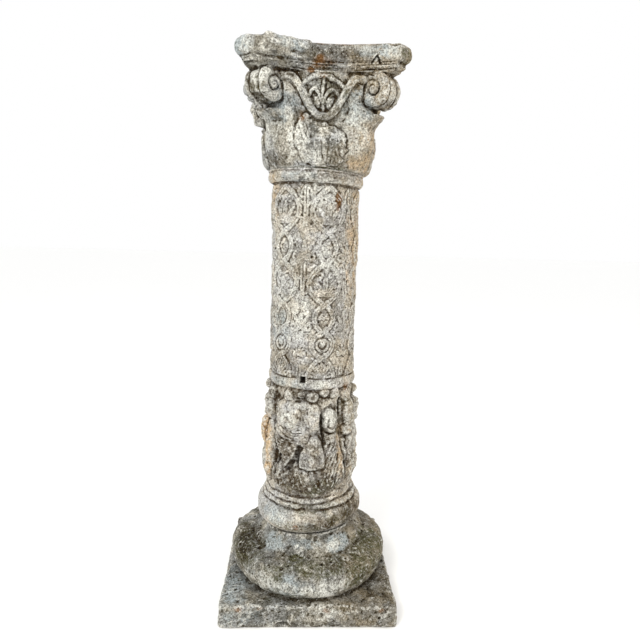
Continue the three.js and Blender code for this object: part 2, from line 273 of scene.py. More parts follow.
def eased(thing, values, rounds):
    """Each point's values averaged with its neighbours', several times over."""
    ends = np.empty(2 * len(thing.data.edges), dtype=np.int64)
    thing.data.edges.foreach_get("vertices", ends)
    a, b = ends.reshape(-1, 2).T
    count = len(thing.data.vertices)
    neighbours = np.bincount(a, minlength=count) + np.bincount(b, minlength=count) + 1e-9
    result = values.copy()
    for _ in range(rounds):
        columns = [
            np.bincount(a, result[b, k], count) + np.bincount(b, result[a, k], count)
            for k in range(result.shape[1])
        ]
        result = 0.5 * result + 0.5 * np.stack(columns, axis=1) / neighbours[:, None]
    return result


def keep_value(thing, name, values):
    """Stores one number a point, for the material to read."""
    attribute = thing.data.attributes.new(name, "FLOAT", "POINT")
    attribute.data.foreach_set("value", np.asarray(values, dtype=np.float32))


def keep_hollows(thing):
    """Stores how far each point lies under its near and its wider surroundings, in millimetres."""
    points = read_points(thing)
    normals = read_normals(thing)
    for name, rounds in (("near_hollow", 6), ("wide_hollow", 60)):
        under = ((eased(thing, points, rounds) - points) * normals).sum(axis=1)
        keep_value(thing, name, under)


plinth_width = 360
plinth_height = 48
plinth_edge = 5
cushion_radius = 174
cushion_core = 130
cushion_height = 80
cushion_half = 38
cushion_columns = 120
groove_height = 116
shoulder_foot_radius = 126
shoulder_top_radius = 101
base_top = 156
bed = 1.5


def slow_wear(azimuth, z):
    """The stone's slow unevenness, in waves round it and up it."""
    a = np.radians(azimuth)
    long_waves = np.sin(3 * a + z * 0.021) * 0.5 + np.sin(7 * a - z * 0.055 + 1.3) * 0.3
    return long_waves + np.sin(z * 0.12 + 2 * a) * 0.2


def cushion_radius_at(azimuth, z):
    """The swollen cushion, the groove over it and the shoulder that slopes in to the shaft."""
    swell = bulge(z, cushion_height, cushion_half, cushion_core, cushion_radius - cushion_core)
    sloped = smooth(groove_height, base_top - 4, z)
    shoulder = mix(shoulder_foot_radius, shoulder_top_radius, sloped)
    return np.maximum(swell, shoulder) + 1.6 * slow_wear(azimuth, z)


round_levels = np.arange(plinth_height - 8, groove_height + 4, 2)
levels = [*round_levels, *np.arange(groove_height + 4, base_top + 1, 4)]
cushion = skinned("cushion", [ring(z, cushion_columns, cushion_radius_at) for z in levels])

bpy.ops.object.select_all(action="DESELECT")
bpy.ops.mesh.primitive_cube_add(size=1, location=(0, 0, plinth_height * MM / 2))
plinth = bpy.context.object
plinth.scale = (plinth_width * MM, plinth_width * MM, plinth_height * MM)
bpy.ops.object.transform_apply()
applied(plinth, "BEVEL", width=plinth_edge * MM, segments=3)
base = fused([plinth, cushion], voxel=2.4)
base.name = "base_stone_work"

points = read_points(base)
normals = read_normals(base)

# Corners and edges that have broken off: where, how far each reaches along X, Y and Z, and how deep
bites = (
    ((-176, 184, 46), (60, 30, 30), 24),
    ((170, 186, 44), (54, 34, 34), 22),
    ((-52, -182, 4), (17, 16, 12), 7),
    ((183, -120, 52), (14, 34, 14), 6),
    ((-184, -40, 47), (12, 50, 12), 4),
    ((60, -184, 46), (40, 12, 10), 3),
    ((-120, -184, 46), (30, 12, 10), 3),
)

# How far each point is worn back or stands proud, from slow waves to grit, and open pits of two sizes
fall = 2.5 * rough(points, 60, 3, 2)
for place, size, depth in bites:
    fall -= depth * patch(points, place, size)
fall += 1.5 * rough(points, 26, 11) + 1.1 * rough(points, 9, 17)
fall -= 3.6 * pits(points, 17, 23, 0.3) + 2.0 * pits(points, 9, 29, 0.35)
moved = points + normals * (fall * smooth(0, 8, points[:, 2]))[:, None]
moved[:, 2] = np.where(points[:, 2] < bed, 0.0, np.maximum(moved[:, 2], 0.0))
moved[:, 2] = np.where(points[:, 2] > base_top - bed, base_top, moved[:, 2])
moved[:, 2] -= lean(moved[:, 2]) * moved[:, 0]
write_points(base, moved)
keep_hollows(base)


def keep_stains(thing, **stains):
    """Stores how strongly each stain lies on each point, with ragged edges. Each row: the middle of a
    spot, how far it reaches along X, Y and Z, and its strength."""
    here = read_points(thing)
    for k, (name, places) in enumerate(stains.items()):
        strength = np.zeros(len(here))
        for place, size, amount in places:
            strength = np.maximum(strength, amount * patch(here, place, size))
        ragged = strength + 0.55 * rough(here, 16, 41 + k) * (strength > 0.01)
        keep_value(thing, name, np.clip(ragged, 0, 1))


keep_stains(
    base,
    moss=(
        ((30, -140, 110), (110, 44, 16), 1.0),
        ((-70, -140, 96), (44, 44, 20), 0.8),
        ((100, -120, 84), (50, 60, 34), 0.95),
        ((-27, -127, 117), (26, 20, 12), 1.0),
        ((-60, -150, 62), (60, 60, 20), 0.45),
        ((120, -60, 100), (90, 100, 50), 0.9),
        ((-130, -60, 100), (60, 100, 40), 0.6),
        ((0, 120, 80), (200, 130, 60), 0.7),
    ),
    dark=(
        ((-130, -50, 112), (50, 80, 40), 1.0),
        ((-60, -130, 114), (60, 40, 8), 0.5),
        ((60, -130, 112), (60, 40, 8), 0.7),
        ((150, -110, 48), (60, 90, 12), 0.5),
        ((-140, 150, 48), (70, 70, 20), 0.9),
        ((120, 150, 48), (80, 60, 20), 0.9),
        ((0, -178, 4), (190, 16, 8), 0.7),
        # Painted shade as well as dirt where the cushion overhangs the plinth.
        ((0, -168, 54), (150, 30, 8), 0.6),
        ((-110, -184, 24), (50, 12, 18), 0.5),
    ),
    pale=(
        ((-20, -111, 132), (14, 20, 9), 1.0),
        ((30, -160, 76), (90, 34, 26), 0.7),
        ((-70, -150, 76), (50, 40, 30), 0.5),
        ((56, -98, 134), (34, 30, 12), 0.9),
        ((150, -184, 28), (12, 10, 8), 0.9),
        ((30, -184, 34), (60, 10, 12), 0.5),
    ),
    blue=(
        ((-76, -90, 132), (34, 34, 20), 1.0),
        ((62, -94, 134), (38, 36, 20), 1.4),
        ((-50, -168, 84), (60, 40, 26), 0.7),
        ((-10, -110, 140), (50, 20, 10), 0.6),
        ((-160, -120, 48), (50, 80, 16), 0.8),
        ((-120, -184, 26), (70, 10, 26), 0.6),
    ),
    ochre=(
        ((-140, -184, 42), (14, 10, 8), 0.8),
        ((-96, -184, 44), (10, 10, 7), 0.8),
        ((36, -184, 40), (12, 10, 8), 0.8),
        ((150, -184, 38), (18, 10, 10), 0.8),
    ),
)


def cast_stone(name, tones, tan, dirt_and_shade):
    """Cast stone of crushed limestone and cement, left out of doors for decades. The face is matt and
    sandy, blotched by lichen, with dark dirt and painted shade in every hollow, and paler worn edges
    that carry a painted highlight."""
    material = bpy.data.materials.new(name)
    material.use_nodes = True
    tree = material.node_tree
    shader = tree.nodes["Principled BSDF"]
    place = node(tree, "ShaderNodeTexCoord").outputs["Object"]
    soft_step = {"interpolation_type": "SMOOTHSTEP", "clamp": True}
    product = {"operation": "MULTIPLY", "use_clamp": True}
    tinted = {"data_type": "RGBA", "blend_type": "MULTIPLY"}
    dark, middle, pale = (linear(tone) for tone in tones)
    dirt_and_shade_tone = linear(dirt_and_shade[0])

    def patches(size_mm, detail, roughness, low, high, least=0.0, most=1.0, distortion=0.0):
        """Ragged patches with lumps of about size_mm, from a noise cut off between two of its values."""
        noise = {"Vector": place, "Scale": 1 / (size_mm * MM), "Detail": detail, "Roughness": roughness}
        noise["Distortion"] = distortion
        value = node(tree, "ShaderNodeTexNoise", inputs=noise).outputs["Fac"]
        cut = {"Value": value, 1: low, 2: high, 3: least, 4: most}
        return node(tree, "ShaderNodeMapRange", soft_step, cut).outputs["Result"]

    def over(colour, tone, *shares):
        """Lays a tone over a colour, as strongly as all the shares say, multiplied together."""
        strength = shares[0]
        for share in shares[1:]:
            strength = node(tree, "ShaderNodeMath", product, {0: strength, 1: share}).outputs[0]
        layers = {0: strength, 6: colour, 7: tone}
        return node(tree, "ShaderNodeMix", {"data_type": "RGBA"}, layers).outputs[2]

    marks = {}
    for mark in ("blue", "moss", "dark", "tan", "pale", "ochre", "painted_crease_shade", "near_hollow", "wide_hollow"):
        marks[mark] = node(tree, "ShaderNodeAttribute", {"attribute_name": mark}).outputs["Fac"]
    grit_noise = {"Vector": place, "Scale": 1 / (3.2 * MM), "Detail": 5, "Roughness": 0.75}
    grit = node(tree, "ShaderNodeTexNoise", inputs=grit_noise).outputs["Fac"]
    dust_noise = {"Vector": place, "Scale": 1 / (1.6 * MM), "Detail": 2, "Roughness": 0.6}
    dust = node(tree, "ShaderNodeTexNoise", inputs=dust_noise).outputs["Fac"]
    side = node(tree, "ShaderNodeSeparateXYZ", inputs={"Vector": place}).outputs["X"]
    holes = node(tree, "ShaderNodeTexVoronoi", {"feature": "F1"}, {"Vector": place, "Scale": 1 / (7 * MM)})

    # How far each value has gone from one level to another, and the least and most that this gives
    levels = {}
    for level, value, low, high, least, most in (
        ("warm side", side, 0.02, 0.085, 0.0, 1.0),
        ("near hollow", marks["near_hollow"], 0.1, 0.65, 0.0, 1.0),
        ("wide hollow", marks["wide_hollow"], 0.5, 3.2, 0.0, 0.55),
        ("worn ridge and highlight", marks["near_hollow"], -0.08, -0.7, 0.0, 1.0),
        ("pale grit", grit, 0.38, 0.6, 0.0, 1.0),
        ("off blowholes", holes.outputs["Distance"], 0.05, 0.4, 0.35, 1.0),
    ):
        gone = {"Value": value, 1: low, 2: high, 3: least, 4: most}
        levels[level] = node(tree, "ShaderNodeMapRange", soft_step, gone).outputs["Result"]

    # Blotches of three tones with crisp ragged edges, a warmer side, and cooler and warmer patches
    colour = over(dark, middle, patches(60, 9, 0.7, 0.45, 0.56))
    colour = over(colour, pale, patches(24, 8, 0.72, 0.53, 0.61, 0, 0.8, 0.3))
    colour = over(colour, dark, patches(11, 7, 0.7, 0.56, 0.63, 0, 0.75))
    warm_patches = patches(42, 6, 0.6, 0.3, 0.56, 0.35, 1)
    colour = over(colour, linear(tan[0]), levels["warm side"], warm_patches, tan[1])
    hue = over(linear("#e3e8f2"), linear("#fbf2e2"), patches(46, 6, 0.6, 0.42, 0.58))
    colour = node(tree, "ShaderNodeMix", tinted, {0: 0.55, 6: colour, 7: hue}).outputs[2]

    # Blue lichen, moss, soot with some painted shade, tan clay, old lime and rust, where they stand on
    # this
    # piece. Each row: the stain, its colour, the size of its ragged edges in millimetres, where its noise
    # is cut and its share.
    for stain, hex_colour, size_mm, low, high, share in (
        ("blue", "#b1babc", 16, 0.36, 0.5, 0.85),
        ("moss", "#5c5b43", 13, 0.38, 0.52, 0.85),
        ("dark", dirt_and_shade[0], 15, 0.37, 0.51, 0.8),
        ("tan", "#dabf9b", 20, 0.28, 0.42, 0.95),
        ("pale", "#e9e9e1", 12, 0.4, 0.49, 0.95),
        ("ochre", "#85664a", 13, 0.33, 0.46, 1.0),
    ):
        ragged = patches(size_mm, 9, 0.72, low, high)
        colour = over(colour, linear(hex_colour), marks[stain], ragged, share)

    # Dirt and painted shade in hollows of two sizes, worn ridges paler with a painted highlight, pale and
    # black specks, painted shade in cracks and creases, and sandy grit
    # The hollows are darkened for dirt and also as painted shade.
    both = {0: levels["near hollow"], 1: levels["wide hollow"]}
    hollow_dirt_and_shade = node(tree, "ShaderNodeMath", {"operation": "ADD", "use_clamp": True}, both).outputs[0]
    colour = over(colour, dirt_and_shade_tone, hollow_dirt_and_shade, patches(15, 8, 0.7, 0.38, 0.55, 0.3, 1), dirt_and_shade[1])
    # Raised ridges are lightened for wear and also as a painted highlight.
    colour = over(colour, linear("#e6e5dd"), levels["worn ridge and highlight"], patches(9, 6, 0.7, 0.42, 0.56), 0.75)
    colour = over(colour, linear("#ebeae3"), patches(4.6, 6, 0.74, 0.59, 0.66, 0, 0.75))
    colour = over(colour, dirt_and_shade_tone, patches(5.0, 6, 0.72, 0.58, 0.63, 0, 0.85))
    # Painted shade: near-black lines in creases, cracks, grooves and the square hole.
    colour = over(colour, linear("#2a261f"), marks["painted_crease_shade"], 0.85)
    sandy = over(linear("#726e67"), linear("#ffffff"), levels["pale grit"])
    colour = node(tree, "ShaderNodeMix", tinted, {0: 0.8, 6: colour, 7: sandy}).outputs[2]

    # Years of rain leave the clean stone brighter and the dirt deeper
    washed = {"Color": colour, "Bright": 0.045, "Contrast": 0.15}
    rinsed = node(tree, "ShaderNodeBrightContrast", inputs=washed)
    tree.links.new(rinsed.outputs["Color"], shader.inputs["Base Color"])

    # Sandy grain and small blowholes, too fine for the mesh
    grains = node(tree, "ShaderNodeMix", {"data_type": "FLOAT"}, {0: 0.3, 2: grit, 3: dust}).outputs[0]
    relief = node(tree, "ShaderNodeMath", product, {0: grains, 1: levels["off blowholes"]}).outputs[0]
    bump = node(tree, "ShaderNodeBump", inputs={"Height": relief, "Strength": 1.0, "Distance": 3.0 * MM})
    tree.links.new(bump.outputs["Normal"], shader.inputs["Normal"])
    shader.inputs["Roughness"].default_value = 0.92
    shader.inputs["Specular IOR Level"].default_value = 0.25
    return material


tones = ("#84827a", "#b1b0a9", "#dcddd8")
mossy = cast_stone("grey cast stone, mossy", tones, tan=("#948872", 0.55), dirt_and_shade=("#3c3426", 0.85))
base.data.materials.append(mossy)
base.data.shade_smooth()
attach(base, "root")
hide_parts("base")

# Shaft: one drum of finer, paler stone. Six chains of two crossing strands, palmettes and rosettes cover
# it in low relief, over a ring of worn draped figures and a roll moulding. All of it was cast in a mould.
shaft_foot = base_top + 0.3
shaft_top = 907
shaft_radius = 88
front_radius = 102
chain_count = 6
strand_half = 5.0
strand_rise = 3.1
crossing_half = 4.8
crossing_rise = 3.5
figure_foot = 246
figure_top = 468
lower_ring_height = 480
astragal_height = 895
hole_azimuth = -13.3
hole_height = 488
hole_half = 6
shaft_columns = 280
shaft_rows = 348


def turn_between(a, b):
    """The angle from b to a the short way round."""
    return (a - b + 180) % 360 - 180


def chain_azimuth(z):
    """The chains lean a little: where the first one stands at each height."""
    return mix(10.7, 17.6, (z - 493) / 381)


def boss(across, up, half_width, half_height):
    """A soft round lump: 1 in the middle and 0 outside its half sizes."""
    return np.sqrt(np.clip(1 - (across / half_width) ** 2 - (up / half_height) ** 2, 0, 1))


def rounded(t):
    """The section of a round-backed ridge, from 1 in the middle to 0 at its edge."""
    return np.sqrt(np.clip(1 - t**2, 0, 1))


def paced(path, pace):
    """A path through any number of dimensions as evenly spaced points."""
    stations = np.asarray(path, dtype=float)
    lengths = np.linalg.norm(np.diff(stations, axis=0), axis=1)
    along = np.concatenate([[0], np.cumsum(lengths)])
    return np.stack([np.interp(np.arange(0, along[-1], pace), along, axis) for axis in stations.T])


def line_relief(across, z, path, half_width, rise, double=False):
    """A round-backed line carved along a path of (across, height) points, as how proud each point is."""
    xs, zs = paced(path, 1.2)
    result = np.zeros(len(across))
    margin = half_width + 1
    box = (across > xs.min() - margin) & (across < xs.max() + margin)
    box &= (z > zs.min() - margin) & (z < zs.max() + margin)
    if not box.any():
        return result
    distance = np.full(box.sum(), 1e9)
    for x, height in zip(xs, zs):
        distance = np.minimum(distance, np.hypot(across[box] - x, z[box] - height))
    t = distance / half_width
    section = rounded(t)
    if double:
        section = rounded(t**2) - 0.45 * np.exp(-((t / 0.3) ** 2))
    result[box] = rise * np.clip(section, 0, 1)
    return result


def arc(middle_x, middle_z, radius, start, end, shrink=1.0):
    """Points along an arc or spiral; angles run from +X towards up."""
    shares = np.linspace(0, 1, 24)
    angles = np.radians(mix(start, end, shares))
    radii = radius * mix(1, shrink, shares)
    return [(middle_x + r * math.cos(a), middle_z + r * math.sin(a)) for r, a in zip(radii, angles)]


def petal(across, z, root_x, root_z, tilt, length, half_width, rise):
    """A pointed leaf with a groove down its middle, standing on its root at a tilt from upright."""
    a = math.radians(tilt)
    up = (across - root_x) * math.sin(a) + (z - root_z) * math.cos(a)
    side = (across - root_x) * math.cos(a) - (z - root_z) * math.sin(a)
    share = np.clip(up / length, 0, 1)
    width = half_width * np.sin(np.pi * share**0.8) ** 0.8 + 0.01
    inside = (up > 0) & (up < length) & (np.abs(side) < width)
    body = rounded(side / width)
    groove = 0.4 * np.exp(-((side / 1.3) ** 2)) * (half_width > 3.5)
    return np.where(inside, rise * np.clip(body - groove, 0, 1), 0)


# The lenses that the strands open into: top, foot, half width and how full each is
lenses = (
    (874, 786, 33, 0.85),
    (786, 728, 19, 0.65),
    (728, 644, 33, 0.85),
    (644, 589, 19, 0.65),
    (589, 536, 22, 0.7),
    (536, 450, 27, 0.75),
)


def strand_path(top, foot, half, roundness):
    """One side of a lens, from its top to its foot."""
    shares = np.linspace(0, 1, 40)
    return [(half * math.sin(math.pi * s) ** roundness, mix(top, foot, s)) for s in shares]


def chain_relief(across, z):
    """One chain and its half of the fields beside it, in millimetres across from the chain's middle."""
    aside = np.abs(across)
    parts = [np.zeros(len(z))]
    for k, (top, foot, half, roundness) in enumerate(lenses):
        path = strand_path(top, foot, half, roundness)
        parts.append(line_relief(aside, z, path, strand_half, strand_rise, double=True))
        if k:
            crossing = [(-7, top - 7), (7, top + 7)]
            parts.append(line_relief(across, z, crossing, crossing_half, crossing_rise, double=True))
    for top, foot, *_ in (lenses[0], lenses[2]):
        for tilt, length, width in ((0, 46, 6), (34, 40, 5), (68, 32, 4.5)):
            parts.append(petal(aside, z, 0, foot + 18, tilt, length, width, 2.7))
        curl = arc(14, foot + 24, 7, -160, 150, 0.4)
        parts.append(line_relief(aside, z, curl, 2.4, 2.2))
        tip = arc(11, top - 26, 7, 20, 300, 0.4)
        parts.append(line_relief(aside, z, tip, 2.3, 2.0))
    for (top, foot, *_), size in ((lenses[1], 1.0), (lenses[3], 0.95)):
        up = z - (top + foot) / 2
        away = np.hypot(across, up)
        petals = smooth(13 * size, 9 * size, away) * (0.6 + 0.4 * np.cos(6 * np.arctan2(up, across)))
        parts.append(2.4 * petals * smooth(3.5, 6, away))
        parts.append(3.0 * boss(across, up, 4.5, 4.5))
    parts.append(line_relief(across, z, arc(0, 561, 12, 0, 360), 2.6, 2.3))
    parts.append(3.2 * boss(across, z - 565, 6.5, 7.5))
    for tilt in (0, 30, 60):
        parts.append(petal(aside, z, 0, 508, tilt, 22, 4, 2.4))
    for tilt in (0, 17, 35, 54, 74):
        parts.append(petal(aside, z, 0, 491, tilt, 31, 3.4, 2.8))
    return np.maximum.reduce(parts)


def field_relief(across, z):
    """The upright stem between two chains, with leaves and curls, measured from the stem."""
    aside = np.abs(across)
    parts = [np.zeros(len(z))]
    for low, high in ((800, 872), (655, 725), (498, 520)):
        parts.append(line_relief(aside, z, [(2.6, low), (2.6, high)], 2.2, 2.2))
    for root, grow in ((736, 1.0), (595, 0.95), (540, 0.55)):
        for tilt, length, width in ((0, 40, 6), (28, 36, 5), (58, 30, 5), (100, 24, 4)):
            parts.append(petal(aside, z, 0, root, tilt, length * grow, width * grow, 2.8))
        curl = arc(15 * grow, root + 2, 8 * grow, 100, -190, 0.35)
        parts.append(line_relief(aside, z, curl, 2.4, 2.4))
    for height in (808, 838, 664, 694):
        parts.append(petal(aside, z, 2, height, 52, 17, 3.6, 2.0))
    arch = [(14, 842), (9, 866), (2, 876)]
    parts.append(line_relief(aside, z, arch, 2.3, 2.0))
    return np.maximum.reduce(parts)


# The draped figures of the sides and back, worn to soft lumps. Each row: azimuth, height of the head, how
# the body slants, half width and how proud.
side_figures = (
    (86, 452, 3, 15, 15.0),
    (114, 456, -3, 15, 13.0),
    (143, 453, 2, 17, 14.0),
    (176, 457, -2, 16, 13.0),
    (207, 452, 3, 16, 14.0),
    (238, 455, 0, 17, 14.0),
    (270, 456, -3, 17, 15.0),
)

# The forms that show in front, worn to lumps. Each row: azimuth, height, half width, half height, tilt to
# the right and how proud.
front_forms = (
    (-31, 454, 14, 11, 0, 12.0),
    (-12, 460, 10, 8, 0, 9.0),
    (1, 453, 14, 12, 0, 13.5),
    (17, 461, 12, 9, 10, 11.0),
    (31, 460, 12, 10, 0, 11.0),
    (52, 453, 13, 15, 0, 12.0),
    (-62, 449, 14, 15, 0, 14.0),
    (-64, 414, 15, 28, 0, 15.0),
    (-64, 318, 18, 80, 2, 19.5),
    (-75, 360, 15, 38, 0, 22.5),
    (-20, 404, 54, 46, 0, 13.5),
    (-37, 410, 24, 34, -20, 15.5),
    (-2, 412, 25, 36, -10, 15.5),
    (-19, 366, 46, 40, 0, 12.5),
    (-36, 350, 28, 46, -24, 13.5),
    (-35, 296, 20, 54, 30, 12.5),
    (4, 272, 60, 46, 0, 12.5),
    (25, 403, 21, 27, 4, 17.0),
    (28, 330, 21, 66, 0, 13.0),
    (44, 300, 32, 56, 0, 12.0),
    (58, 410, 19, 38, 0, 16.0),
    (55, 374, 18, 16, 0, 17.0),
    (60, 316, 18, 62, 8, 17.0),
    (-45, 262, 40, 34, 0, 10.0),
)

# Undercut edges between the front forms: azimuth and height along each, half width and depth
creases = (
    (((-13.5, 436), (-13, 412), (-14, 396)), 2.6, 4.0),
    (((-14, 344), (-19, 322), (-30, 294), (-46, 256)), 7.5, 6.5),
    (((-15, 346), (-17, 320), (-15, 292)), 3.6, 7.0),
    (((11, 414), (12.5, 388), (17, 362), (19, 350)), 4.4, 8.0),
    (((-18, 304), (0, 299), (19, 304)), 3.2, 5.5),
    (((14, 410), (14, 390), (20, 379), (30, 377), (38, 382)), 3.6, 7.0),
    (((42, 444), (43, 400), (41, 366), (45, 320), (47, 278)), 4.0, 8.0),
    (((-50, 446), (-48, 410), (-50, 372), (-48, 326), (-51, 272)), 4.4, 9.0),
    (((50, 345), (56, 328), (62, 300)), 3.4, 6.0),
    (((46, 362), (54, 357), (62, 362)), 3.0, 6.0),
    (((20, 405), (20, 394), (26, 389), (32, 394), (32, 405)), 2.8, 4.0),
    (((-48, 440), (-31, 443), (-16, 446), (0, 440), (12, 444)), 3.6, 4.5),
)


def front_across(azimuth):
    """Millimetres along the band from its front, measured on the worn face of the figures."""
    return np.radians(turn_between(azimuth, 0)) * front_radius


def figure_relief(azimuth, z, across_shift, up_shift):
    """The ring of figures: heads, shoulders, cloaks and long dresses with falling folds. The shifts bend
    every outline a little, as hand carving and wear did."""
    radius = shaft_radius + 12
    z = z + up_shift
    proud = np.zeros(len(z))
    for k, (turn, head, slant, width, rise) in enumerate(side_figures):
        across = np.radians(turn_between(azimuth, turn)) * radius - slant * (z - 360) / 60 + across_shift
        shoulder = head - 15
        half = width * mix(1.05, 0.75, smooth(shoulder - 60, shoulder - 4, z))
        half = half + 4.5 * within(z, shoulder - 34, shoulder - 18, shoulder - 12, shoulder + 2)
        t = np.clip(np.abs(across) / half, 0, 1)
        body = np.sqrt(1 - t**2.4) * smooth(shoulder + 3, shoulder - 9, z)
        waist = 1 - 0.3 * np.exp(-(((z - shoulder + 62) / 14) ** 2))
        bent = across + 5 * np.sin(z * 0.03 + 2 * k)
        folds = 1.8 * np.cos(bent * 0.5 + k) * smooth(shoulder - 40, shoulder - 75, z)
        slope = np.abs(across) + (z - shoulder) * 0.7
        cape = 1.5 * np.cos(slope * 0.42) * smooth(shoulder - 80, shoulder - 40, z)
        dress = rise * body * waist + (folds + cape) * (t < 0.93) * body
        knob = (rise - 1) * boss(across, z - head, 11.5, 12)
        arm_path = [(12, shoulder - 14), (15, shoulder - 44), (3, shoulder - 54)]
        arm = line_relief(across * (1 if k % 2 else -1), z, arm_path, 5, rise + 1.5)
        proud = np.maximum.reduce([proud, dress, knob, arm])
    side = front_across(azimuth) + across_shift
    for form_turn, middle, half_width, half_height, tilt, rise in front_forms:
        x = side - math.radians(form_turn) * front_radius
        up = z - middle
        a = math.radians(tilt)
        u = x * math.cos(a) - up * math.sin(a)
        v = x * math.sin(a) + up * math.cos(a)
        s = (np.abs(u) / half_width) ** 2.1 + (np.abs(v) / half_height) ** 2.6
        proud = np.maximum(proud, rise * np.clip(1 - s, 0, 1) ** 0.42)
    front = (np.abs(turn_between(azimuth, 0)) < 72) * smooth(4, 9, proud)
    knee_half = mix(9, 33, smooth(376, 318, z) ** 0.8)
    knee = 18 * np.clip(1 - (np.abs(side - 4) / knee_half) ** 2.4, 0, 1) ** 0.5
    proud = np.maximum(proud, knee * within(z, 292, 303, 368, 379))

    # The folds of each part of the cloth, and where on the front they lie
    left_cloak = np.cos(np.hypot(side + 34, (z - 410) * 1.25) * 0.72)
    left_cloak = left_cloak * within(side, -88, -80, -22, -12) * within(z, 300, 330, 376, 394)
    chest = np.cos((side * 0.5 + np.abs(side + 24) * 0.4 + (z - 400) * 0.32) * 1.1)
    chest = chest * smooth(388, 398, z) * within(side, -50, -40, 14, 24)
    skirt = np.cos((side + 0.3 * (z - 300)) * 0.5)
    skirt = skirt * within(z, 240, 262, 285, 308) * within(side, -92, -80, 88, 100)
    over_knee = np.cos(np.hypot(side - 26, z - 400) * 0.5)
    over_knee = over_knee * within(side, -22, -10, 26, 38) * within(z, 300, 312, 362, 376)
    right_cloak = np.cos((side - 0.35 * (z - 330)) * 0.7) * smooth(24, 34, side) * smooth(368, 350, z)
    cloth = 1.3 * left_cloak + 0.9 * chest + 0.6 * skirt + 0.8 * over_knee + 1.1 * right_cloak
    proud += front * cloth * mix(0.35, 1.2, smooth(-1.6, 1.6, up_shift))
    return proud * smooth(226, 286, z)


def crease_depth(azimuth, z, across_shift, up_shift):
    """How deep the undercut edges are at each point."""
    side = front_across(azimuth) + across_shift
    depth = np.zeros(len(z))
    for path, half_width, deep in creases:
        places = [(math.radians(turn) * front_radius, height) for turn, height in path]
        depth = np.maximum(depth, line_relief(side, z + up_shift, places, half_width, deep))
    return depth


def shaft_radius_at(azimuth, z, points):
    """The radius of the shaft and how strong the painted shade in its creases is, at each point. Its rings
    wander and are chipped.
    """
    chipped = smooth(0.1, 0.75, rough(points, 34, 58, 3))
    torus = bulge(z, middle=185.5, half=26, core=94, out=22)
    fillet_height = z + 2.2 * rough(points, 44, 55, 2)
    fillet = bulge(fillet_height, middle=215.5, half=7, core=92, out=12) - 6 * chipped
    step_height = z + 2.4 * rough(points, 44, 56, 2)
    step = bulge(step_height, middle=227.5, half=6, core=91, out=8)
    step -= 5 * smooth(-0.1, 0.6, rough(points, 38, 57, 3))
    foot_radius = mix(shaft_radius + 4.5, shaft_radius, smooth(figure_foot, 320, z))
    ground = np.where(z < figure_top, foot_radius, shaft_radius)
    ring_height = z + 1.2 * rough(points, 36, 59, 2)
    lower_ring = bulge(ring_height, middle=lower_ring_height, half=12, core=87, out=8) - 2.5 * chipped
    astragal_wander = z + 0.8 * rough(points, 36, 60, 2)
    astragal = bulge(astragal_wander, middle=astragal_height, half=13, core=88, out=11) - 2 * chipped
    neck = np.where(z > 886, mix(92, 99, smooth(896, shaft_top, z)), 0)
    span = 360 / chain_count
    from_chain = turn_between(azimuth, chain_azimuth(z)) / span
    nearest = np.round(from_chain)
    chain_side = np.radians((from_chain - nearest) * span) * shaft_radius
    from_stem = from_chain - 0.5
    stem_side = np.radians((from_stem - np.round(from_stem)) * span) * shaft_radius
    window = within(z, 489, 495, 875, 881)
    relief = np.maximum(chain_relief(chain_side, z), field_relief(stem_side, z)) * window
    worn = smooth(-0.55, 0.25, rough(points, 55, 71, 2) + 0.3 * grain(points, 18, 75))
    relief = relief * mix(0.8, 1.35, worn) + 0.9 * rough(points, 10, 83, 2) * window
    across_shift = 4.0 * rough(points, 24, 61, 4)
    up_shift = 4.0 * rough(points, 24, 65, 4)
    figures_out = figure_relief(azimuth, z, across_shift, up_shift) * (z < 474)
    broken = smooth(-0.5, 0.25, rough(points, 26, 67, 3))
    cut = crease_depth(azimuth, z, across_shift, up_shift) * mix(0.15, 1, broken)
    carved = ground + relief + figures_out - cut
    surface = np.maximum.reduce([torus, fillet, step, carved, lower_ring, astragal, neck])
    # The second value is painted shade along the deeper creases between the figures.
    return surface + 0.9 * slow_wear(azimuth, z), 0.65 * smooth(2.0, 6.0, cut) * (z < 474) * (z > 240)


bpy.ops.object.select_all(action="DESELECT")
drum_height = shaft_top - shaft_foot
bpy.ops.mesh.primitive_cylinder_add(
    vertices=shaft_columns,
    radius=shaft_radius * MM,
    depth=drum_height * MM,
    end_fill_type="NOTHING",
    location=(0, 0, (shaft_foot + drum_height / 2) * MM),
)
shaft = bpy.context.object
shaft.name = "shaft_stone_work"
bpy.ops.object.transform_apply()
bpy.ops.object.mode_set(mode="EDIT")
bpy.ops.mesh.select_mode(type="EDGE")
bpy.ops.mesh.select_all(action="DESELECT")
bpy.ops.object.mode_set(mode="OBJECT")
for edge in shaft.data.edges:
    ends = [shaft.data.vertices[index].co.z for index in edge.vertices]
    edge.select = abs(ends[0] - ends[1]) > drum_height * MM / 2
bpy.ops.object.mode_set(mode="EDIT")
bpy.ops.mesh.subdivide_edgering(number_cuts=shaft_rows, interpolation="LINEAR")
bpy.ops.mesh.select_all(action="SELECT")
bpy.ops.mesh.region_to_loop()
bpy.ops.mesh.edge_face_add()
bpy.ops.object.mode_set(mode="OBJECT")

points = read_points(shaft)
azimuth = np.degrees(np.arctan2(points[:, 0], -points[:, 1]))
height = points[:, 2]
radius, crack_and_crease_shade = shaft_radius_at(azimuth, height, points)

# Sandy wear everywhere, coarser in the band of figures, and pits of two sizes
radius += 0.55 * rough(points, 8, 81, 3) + 0.35 * rough(points, 3.4, 85, 1)
in_band = within(height, 225, 245, 462, 475)
radius += (2.0 * rough(points, 20, 89, 3) + 1.5 * rough(points, 8, 90, 2)) * in_band
radius -= 1.5 * pits(points, 7, 91, 0.14) + 2.4 * pits(points, 19, 97, 0.1)

